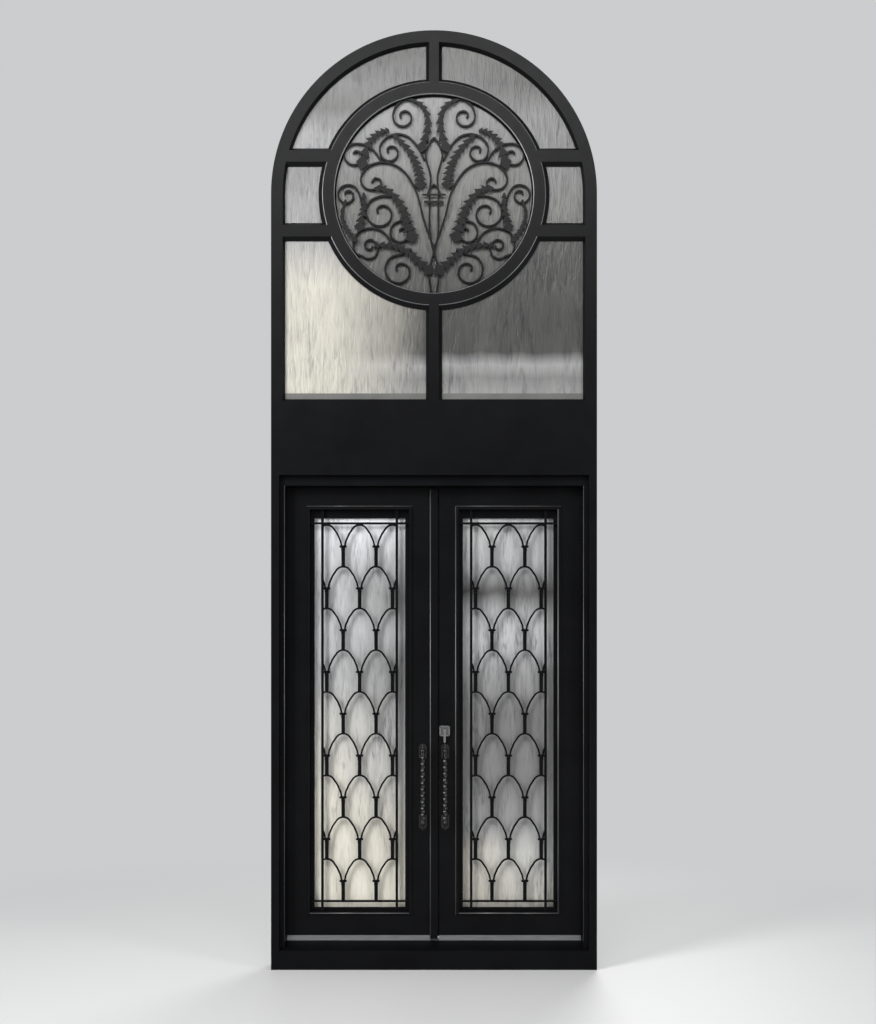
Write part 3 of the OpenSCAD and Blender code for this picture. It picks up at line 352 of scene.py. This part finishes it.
# Light paint for the slim beads, a painted highlight along the edges
PAINTED_HIGHLIGHT = painted_iron("painted_highlight_edge", dark=(0.04, 0.04, 0.041), light=(0.07, 0.07, 0.072),
                           roughness=0.3, shine=0.5, grain=300.0, relief=0.05)
PULL = painted_iron("rubbed_iron", dark=(0.005, 0.005, 0.0054), light=(0.01, 0.01, 0.0105),
                    roughness=0.32, shine=0.25, grain=300.0, relief=0.1)
NICKEL = bare_metal("satin_nickel", dark=(0.075, 0.076, 0.075), light=(0.12, 0.121, 0.12),
                    roughness=0.36, brush=(1.0, 1.0, 12.0))
BRIGHT = bare_metal("bright_nickel", dark=(0.14, 0.14, 0.137), light=(0.2, 0.2, 0.196),
                    roughness=0.3, brush=(1.0, 1.0, 12.0))
SWEEP = bare_metal("mill_aluminium", dark=(0.15, 0.153, 0.157), light=(0.22, 0.223, 0.227),
                   roughness=0.4, brush=(0.3, 6.0, 6.0))
RUBBER = soft_rubber("black_rubber")
GLASS = {name: rain_glass(name + "_rain_painted_reflections", **tones) for name, tones in GLASS_NODES.items()}


def finish_of(name):
    """The material of a solid."""
    if name in GLASS_NODES:
        return GLASS[name]
    if name in NICKEL_NODES:
        return NICKEL
    if name in BRIGHT_NODES:
        return BRIGHT
    if name in RUBBER_NODES:
        return RUBBER
    if name in SWEEP_NODES:
        return SWEEP
    if name in FOLIAGE_NODES:
        return FOLIAGE
    if name in PULL_NODES:
        return PULL
    return IRON


# Finish and soft edges of the solids

EDGE = 0.002
WIDE_EDGE = 0.004
EDGE_SEGMENTS = 3
EDGE_ANGLE = math.radians(38)

for name, node in nodes.items():
    node.data.materials.clear()
    node.data.materials.append(finish_of(name))
    if name in GLASS_NODES:
        continue
    edge = node.modifiers.new("soft_edges", "BEVEL")
    edge.width = WIDE_EDGE if name in WIDE_EDGE_NODES else EDGE
    edge.segments = EDGE_SEGMENTS
    edge.limit_method = "ANGLE"
    edge.angle_limit = EDGE_ANGLE
    edge.use_clamp_overlap = True
    edge.harden_normals = False


# Small trim that rides the bodies, with light beads that paint highlight lines

BEAD_SIDES = 12
HOOP_STEPS = 160
SCREW_SIDES = 20
SCREW_R = 0.0035
SCREW_TOP_R = 0.6 * SCREW_R
SCREW_H = 0.0014


def add_piece(name, mesh, material, body):
    """A mesh as a piece that rides a body."""
    mesh.materials.append(material)
    piece = bpy.data.objects.new(name, mesh)
    bpy.context.scene.collection.objects.link(piece)
    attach(piece, body)


def block(name, low, high, material, body):
    """A box between two corners."""
    corners = [(x, y, z) for x in (low[0], high[0]) for y in (low[1], high[1]) for z in (low[2], high[2])]
    sides = [(0, 1, 3, 2), (4, 6, 7, 5), (0, 4, 5, 1), (2, 3, 7, 6), (0, 2, 6, 4), (1, 5, 7, 3)]
    mesh = bpy.data.meshes.new(name)
    mesh.from_pydata(corners, [], sides)
    add_piece(name, mesh, material, body)


def rod(name, start, end, radius, material, body):
    """A round rod between two points."""
    axis = Vector(end) - Vector(start)
    middle = (Vector(start) + Vector(end)) / 2
    seat = Matrix.Translation(middle) @ axis.to_track_quat("Z", "Y").to_matrix().to_4x4()
    shape = bmesh.new()
    bmesh.ops.create_cone(shape, cap_ends=True, segments=BEAD_SIDES, radius1=radius, radius2=radius,
                          depth=axis.length, matrix=seat)
    mesh = bpy.data.meshes.new(name)
    shape.to_mesh(mesh)
    shape.free()
    mesh.shade_smooth()
    add_piece(name, mesh, material, body)


def hoop(name, radius, tube, y, z, material, body):
    """A round hoop about the middle of the doors."""
    points = []
    sides = []
    for step in range(HOOP_STEPS):
        turn = 2.0 * math.pi * step / HOOP_STEPS
        here = step * BEAD_SIDES
        after = (step + 1) % HOOP_STEPS * BEAD_SIDES
        for side in range(BEAD_SIDES):
            roll = 2.0 * math.pi * side / BEAD_SIDES
            reach = radius + tube * math.cos(roll)
            beside = (side + 1) % BEAD_SIDES
            points.append((reach * math.cos(turn), y + tube * math.sin(roll), z + reach * math.sin(turn)))
            sides.append((here + side, here + beside, after + beside, after + side))
    mesh = bpy.data.meshes.new(name)
    mesh.from_pydata(points, [], sides)
    mesh.shade_smooth()
    add_piece(name, mesh, material, body)


def screws(name, places, material, body):
    """Low domed screw heads, each at a point with the side that it faces along Y."""
    shape = bmesh.new()
    for (x, y, z), side in places:
        turn = Matrix.Rotation(-side * math.pi / 2, 4, "X")
        seat = Matrix.Translation((x, y + side * SCREW_H / 2, z)) @ turn
        bmesh.ops.create_cone(shape, cap_ends=True, segments=SCREW_SIDES, radius1=SCREW_R,
                              radius2=SCREW_TOP_R, depth=SCREW_H, matrix=seat)
    mesh = bpy.data.meshes.new(name)
    shape.to_mesh(mesh)
    shape.free()
    add_piece(name, mesh, material, body)


Box = namedtuple("Box", "low high")


def box_of(name):
    """The low and the high corner of a solid."""
    node = nodes[name]
    spots = [node.matrix_world @ vertex.co for vertex in node.data.vertices]
    low = Vector([min(values) for values in zip(*spots)])
    high = Vector([max(values) for values in zip(*spots)])
    return Box(low, high)


LEAVES = (("left_leaf", -1.0), ("right_leaf", 1.0))
astragal = box_of("astragal")
stile = box_of("right_meeting_stile")
door_head = box_of("door_head")

# Flexible brush that closes the gap between the astragal and the right leaf
BRUSH_PLAY = 0.00005
BRUSH_T = 0.004
BRUSH_SETBACK = 0.002
BRUSH_END = 0.005
brush_back = box_of("meeting_seal").low.y - BRUSH_SETBACK
block("meeting_brush", (astragal.high.x, brush_back - BRUSH_T, astragal.low.z + BRUSH_END),
      (stile.low.x - BRUSH_PLAY, brush_back, astragal.high.z - BRUSH_END), RUBBER, "left_leaf")

# Slim light bead on the left edge of the astragal, a painted highlight line
ASTRAGAL_BEAD_R = 0.003
ASTRAGAL_BEAD_INSET_X = 0.0005
ASTRAGAL_BEAD_INSET_Y = 0.001
ASTRAGAL_BEAD_RISE = 0.007
ASTRAGAL_BEAD_DROP = 0.009
bead_x = astragal.low.x + ASTRAGAL_BEAD_INSET_X
bead_y = astragal.low.y + ASTRAGAL_BEAD_INSET_Y
rod("astragal_highlight_bead", (bead_x, bead_y, astragal.low.z + ASTRAGAL_BEAD_RISE),
    (bead_x, bead_y, door_head.low.z - ASTRAGAL_BEAD_DROP), ASTRAGAL_BEAD_R, PAINTED_HIGHLIGHT, "left_leaf")

# Slim light beads on the outer step and on the rim of the mouldings, painted highlight lines
STEP_BEAD_R = 0.0016
STEP_NEAR_BEAD_R = 0.003
STEP_INSET = 0.001
STEP_DEPTH = 0.004
RIM_BEAD_R = 0.004
RIM_INSET = 0.0175
RIM_RISE = 0.010
RIM_DEPTH = 0.0025
moulding = box_of("right_moulding")
step_near = moulding.low.x + STEP_INSET
step_far = moulding.high.x - STEP_INSET
step_y = moulding.low.y + STEP_DEPTH
step_foot = moulding.low.z + STEP_INSET
step_head = moulding.high.z - STEP_INSET
rim_near = moulding.low.x + RIM_INSET
rim_far = moulding.high.x - RIM_INSET
rim_y = moulding.low.y + RIM_DEPTH
rim_foot = moulding.low.z + RIM_RISE
rim_head = moulding.high.z - RIM_INSET
rod("right_leaf_highlight_near", (step_near, step_y, step_foot), (step_near, step_y, step_head),
    STEP_NEAR_BEAD_R, PAINTED_HIGHLIGHT, "right_leaf")
rod("right_leaf_highlight_far", (rim_far, rim_y, rim_foot), (rim_far, rim_y, rim_head),
    RIM_BEAD_R, PAINTED_HIGHLIGHT, "right_leaf")
for body, side in LEAVES:
    rod(body + "_highlight_foot", (side * rim_near, rim_y, rim_foot), (side * rim_far, rim_y, rim_foot),
        RIM_BEAD_R, PAINTED_HIGHLIGHT, body)
    rod(body + "_highlight_head", (side * step_near, step_y, step_head), (side * step_far, step_y, step_head),
        STEP_BEAD_R, PAINTED_HIGHLIGHT, body)

# Slim light beads on the stops of the jambs, painted highlight lines
STOP_BEAD_R = 0.002
STOP_INSET = 0.0015
STOP_DEPTH = 0.030
STOP_RISE = 0.005
jamb = box_of("right_jamb")
stop_x = jamb.low.x + STOP_INSET
stop_y = jamb.low.y + STOP_DEPTH
stop_foot = box_of("threshold").high.z + STOP_RISE
for part, side in (("left_stop_highlight", -1.0), ("right_stop_highlight", 1.0)):
    rod(part, (side * stop_x, stop_y, stop_foot), (side * stop_x, stop_y, door_head.low.z),
        STOP_BEAD_R, PAINTED_HIGHLIGHT, "frame")

# Round light beads on the edges of the ring, painted highlight lines
RING_BEAD_R = 0.004
RING_BEAD_DEPTH = 0.0045
RING_OUTER_INSET = 0.0225
RING_INNER_INSET = 0.0785
ring = box_of("transom_ring")
ring_y = ring.low.y + RING_BEAD_DEPTH
ring_z = (ring.low.z + ring.high.z) / 2
hoop("ring_highlight_out", ring.high.x - RING_OUTER_INSET, RING_BEAD_R, ring_y, ring_z, PAINTED_HIGHLIGHT, "frame")
hoop("ring_highlight_in", ring.high.x - RING_INNER_INSET, RING_BEAD_R, ring_y, ring_z, PAINTED_HIGHLIGHT, "frame")

# Metal strips at the foot of the low panes
STRIP_SEAT = 0.0005
STRIP_T = 0.0035
STRIP_H = 0.031
pane_front = box_of("low_panes").low.y
panel_top = box_of("mull_box").high.z
strip_near = box_of("bottom_bar").high.x - STRIP_SEAT
strip_far = box_of("transom_right_stile").low.x + STRIP_SEAT
strip_front = pane_front - STRIP_T
strip_back = pane_front + STRIP_SEAT
strip_foot = panel_top - STRIP_SEAT
strip_head = panel_top + STRIP_H
block("left_pane_strip", (-strip_far, strip_front, strip_foot), (-strip_near, strip_back, strip_head),
      STRIP, "frame")
block("right_pane_strip", (strip_near, strip_front, strip_foot), (strip_far, strip_back, strip_head),
      STRIP, "frame")

# Screws of the pull plates, outside and inside
PULL_PLATE_T = 0.005
SCREW_STEPS = (-0.204, -0.152, 0.152, 0.204)
pulls = box_of("right_pulls")
pull_x = (pulls.low.x + pulls.high.x) / 2
pull_z = (pulls.low.z + pulls.high.z) / 2
plate_faces = ((stile.low.y - PULL_PLATE_T, -1.0), (stile.high.y + PULL_PLATE_T, 1.0))
for body, side in LEAVES:
    spots = [((side * pull_x, y, pull_z + step), way) for y, way in plate_faces for step in SCREW_STEPS]
    screws(body + "_pull_screws", spots, PULL, body)

# Bright rim of the outside rosette
ROSETTE_RIM_OUT = 0.0255
ROSETTE_RIM_IN = 0.0205
ROSETTE_RIM_END = 0.0185
ROSETTE_RIM_T = 0.0006
rosette = box_of("lock_rosettes")
rosette_x = (rosette.low.x + rosette.high.x) / 2
rosette_z = (rosette.low.z + rosette.high.z) / 2
rosette_back = rosette.low.y
rosette_front = rosette.low.y - ROSETTE_RIM_T
for way in (-1.0, 1.0):
    near, far = sorted((way * ROSETTE_RIM_IN, way * ROSETTE_RIM_OUT))
    block("rosette_rim_x", (rosette_x + near, rosette_front, rosette_z - ROSETTE_RIM_END),
          (rosette_x + far, rosette_back, rosette_z + ROSETTE_RIM_END), BRIGHT, "right_leaf")
    block("rosette_rim_z", (rosette_x - ROSETTE_RIM_END, rosette_front, rosette_z + near),
          (rosette_x + ROSETTE_RIM_END, rosette_back, rosette_z + far), BRIGHT, "right_leaf")


# Stage

BACKDROP = (0.75, 0.76, 0.77)
BACKDROP_SEEN = 0.8
BACKDROP_LIGHT = 0.28
FADE_START = 1.0
FADE_END = 5.0
FLOOR_HALF = 40.0
FLOOR_TONE = (0.62, 0.62, 0.62)
FLOOR_ROUGHNESS = 0.55


def shown(tree):
    """1 for the rays that show the backdrop to the camera, in metal or through glass."""
    rays = tree.nodes.new("ShaderNodeLightPath")
    through = calculate(tree, "MAXIMUM", rays.outputs["Is Glossy Ray"], rays.outputs["Is Transmission Ray"])
    return calculate(tree, "MAXIMUM", rays.outputs["Is Camera Ray"], through)


def fading_floor(name, colour, roughness):
    """A pale floor that is seen to fade into the backdrop away from the doors."""
    material, tree, shader, place = new_material(name, roughness)
    shader.inputs["Base Color"].default_value = (*colour, OPAQUE)
    length = tree.nodes.new("ShaderNodeVectorMath")
    length.operation = "LENGTH"
    tree.links.new(place, length.inputs[0])
    far = spread(tree, length.outputs["Value"], FADE_START, FADE_END)
    far.node.interpolation_type = "SMOOTHSTEP"
    share = calculate(tree, "MULTIPLY", far, shown(tree))
    glow = tree.nodes.new("ShaderNodeEmission")
    glow.inputs["Color"].default_value = (*BACKDROP, OPAQUE)
    glow.inputs["Strength"].default_value = BACKDROP_SEEN
    mix = tree.nodes.new("ShaderNodeMixShader")
    tree.links.new(share, mix.inputs["Fac"])
    tree.links.new(shader.outputs["BSDF"], mix.inputs[1])
    tree.links.new(glow.outputs["Emission"], mix.inputs[2])
    tree.links.new(mix.outputs["Shader"], tree.nodes["Material Output"].inputs["Surface"])
    return material


floor_corners = [
    (-FLOOR_HALF, -FLOOR_HALF, 0.0),
    (FLOOR_HALF, -FLOOR_HALF, 0.0),
    (FLOOR_HALF, FLOOR_HALF, 0.0),
    (-FLOOR_HALF, FLOOR_HALF, 0.0),
]
floor_mesh = bpy.data.meshes.new("floor")
floor_mesh.from_pydata(floor_corners, [], [(0, 1, 2, 3)])
floor = bpy.data.objects.new("floor", floor_mesh)
bpy.context.scene.collection.objects.link(floor)
floor_mesh.materials.append(fading_floor("pale_floor", FLOOR_TONE, FLOOR_ROUGHNESS))

world = bpy.data.worlds.new("studio")
bpy.context.scene.world = world
world.use_nodes = True
world_tree = world.node_tree
backdrop = world_tree.nodes["Background"]
backdrop.inputs["Color"].default_value = (*BACKDROP, OPAQUE)
seen = calculate(world_tree, "MULTIPLY", shown(world_tree), BACKDROP_SEEN - BACKDROP_LIGHT)
strength = calculate(world_tree, "ADD", seen, BACKDROP_LIGHT)
world_tree.links.new(strength, backdrop.inputs["Strength"])


# Lights

def area_light(name, place, aim, width, height, power):
    """A soft rectangular light aimed at a point."""
    data = bpy.data.lights.new(name, "AREA")
    data.shape = "RECTANGLE"
    data.size = width
    data.size_y = height
    data.energy = power
    lamp = bpy.data.objects.new(name, data)
    lamp.location = place
    lamp.rotation_euler = (Vector(aim) - Vector(place)).to_track_quat("-Z", "Y").to_euler()
    bpy.context.scene.collection.objects.link(lamp)


MIDDLE = (0.0, 0.0, 2.2)
TRANSOM = (0.0, 0.0, 3.9)
DOORS = (0.0, 0.0, 1.9)
area_light("key", place=(-5.0, -5.0, 5.5), aim=MIDDLE, width=2.5, height=4.0, power=570)
area_light("fill", place=(5.5, -5.0, 3.0), aim=MIDDLE, width=2.0, height=4.0, power=220)
area_light("overhead", place=(0.0, -6.5, 7.6), aim=TRANSOM, width=5.0, height=2.6, power=250)
area_light("low", place=(0.4, -4.6, 0.5), aim=TRANSOM, width=4.0, height=0.5, power=18)
area_light("strip", place=(-4.4, -4.6, 1.9), aim=DOORS, width=0.7, height=3.6, power=90)
area_light("back", place=(2.0, 6.0, 5.0), aim=MIDDLE, width=3.0, height=3.0, power=260)


# Camera

SENSOR = 24.0
LENS = 28.125
SHIFT_X = 0.0039
SHIFT_Y = 0.1836
CAMERA_PLACE = (0.0, -6.075, 1.35)
LEVEL = math.radians(90)
camera_data = bpy.data.cameras.new("camera")
camera_data.sensor_fit = "AUTO"
camera_data.sensor_width = SENSOR
camera_data.lens = LENS
camera_data.shift_x = SHIFT_X
camera_data.shift_y = SHIFT_Y
camera = bpy.data.objects.new("camera", camera_data)
camera.location = CAMERA_PLACE
camera.rotation_euler = (LEVEL, 0.0, 0.0)
bpy.context.scene.collection.objects.link(camera)
bpy.context.scene.camera = camera

bpy.context.scene.view_settings.view_transform = "Standard"
